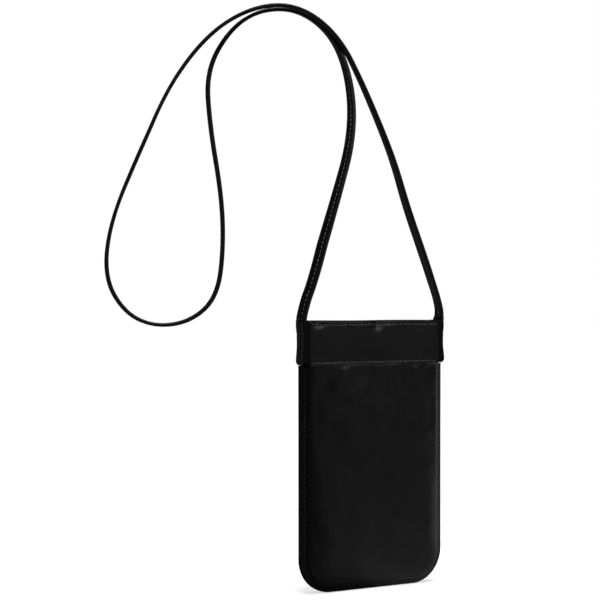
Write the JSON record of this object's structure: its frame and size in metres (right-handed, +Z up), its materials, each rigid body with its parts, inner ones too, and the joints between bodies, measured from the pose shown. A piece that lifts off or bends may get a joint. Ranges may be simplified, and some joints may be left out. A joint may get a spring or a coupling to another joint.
{
  "type": "neck pouch wallet",
  "caption": "Slim upright leather pouch with a spring-steel squeeze mouth, worn on a long flat leather neck strap sewn to both sides of its hem band.",
  "frame": {"origin": "the point the strap rests on, under the top of its hump", "axes": "+X along the pouch's width, -Y out of the pouch's front, +Z up along the pouch's height"},
  "size_m": [0.2162, 0.0911, 0.3864],
  "materials": {
    "pouch_leather": "smooth black leather with a soft satin sheen",
    "strap_leather": "smooth black leather strap with painted edges",
    "lining": "thin black woven lining",
    "thread": "waxed black thread",
    "spring_steel": "tempered steel strip",
    "pin_steel": "plated steel wire pin"
  },
  "bodies": {
    "pouch": {"front_panel": "pouch_leather", "front_lining": "lining", "back_panel": "pouch_leather", "back_lining": "lining", "hinge_pin_left": "pin_steel", "hinge_pin_right": "pin_steel", "side_gusset_left": "pouch_leather", "side_gusset_right": "pouch_leather", "strap_end_left": "strap_leather", "strap_end_right": "strap_leather", "strap_end_thread_left": "thread", "strap_end_thread_right": "thread", "side_seam_thread": "thread", "strap": "strap_leather"},
    "front_left_strip": {"front_spring_left": "spring_steel", "front_hem_left": "pouch_leather", "front_hem_thread_left": "thread"},
    "front_right_strip": {"front_spring_right": "spring_steel", "front_hem_right": "pouch_leather", "front_hem_thread_right": "thread"},
    "back_left_strip": {"back_spring_left": "spring_steel", "back_hem_left": "pouch_leather", "back_hem_thread_left": "thread"},
    "back_right_strip": {"back_spring_right": "spring_steel", "back_hem_right": "pouch_leather", "back_hem_thread_right": "thread"}
  },
  "joints": [
    {"name": "squeeze_front_left", "type": "hinge", "parent": "pouch", "child": "front_left_strip", "pos_m": [0.0092, -0.024, -0.2195], "axis": [0, 0, -1], "range_deg": [0, 24], "stiffness_Nm_per_rad": 0.03},
    {"name": "squeeze_front_right", "type": "hinge", "parent": "pouch", "child": "front_right_strip", "pos_m": [0.1068, -0.024, -0.2195], "axis": [0, 0, 1], "range_deg": [0, 24]},
    {"name": "squeeze_back_left", "type": "hinge", "parent": "pouch", "child": "back_left_strip", "pos_m": [0.0092, -0.024, -0.2195], "axis": [0, 0, 1], "range_deg": [0, 24]},
    {"name": "squeeze_back_right", "type": "hinge", "parent": "pouch", "child": "back_right_strip", "pos_m": [0.1068, -0.024, -0.2195], "axis": [0, 0, -1], "range_deg": [0, 24]}
  ],
  "couplings": [
    {"joint": "squeeze_front_right", "follows": "squeeze_front_left", "ratio": 1},
    {"joint": "squeeze_back_left", "follows": "squeeze_front_left", "ratio": 1},
    {"joint": "squeeze_back_right", "follows": "squeeze_front_left", "ratio": 1}
  ]
}
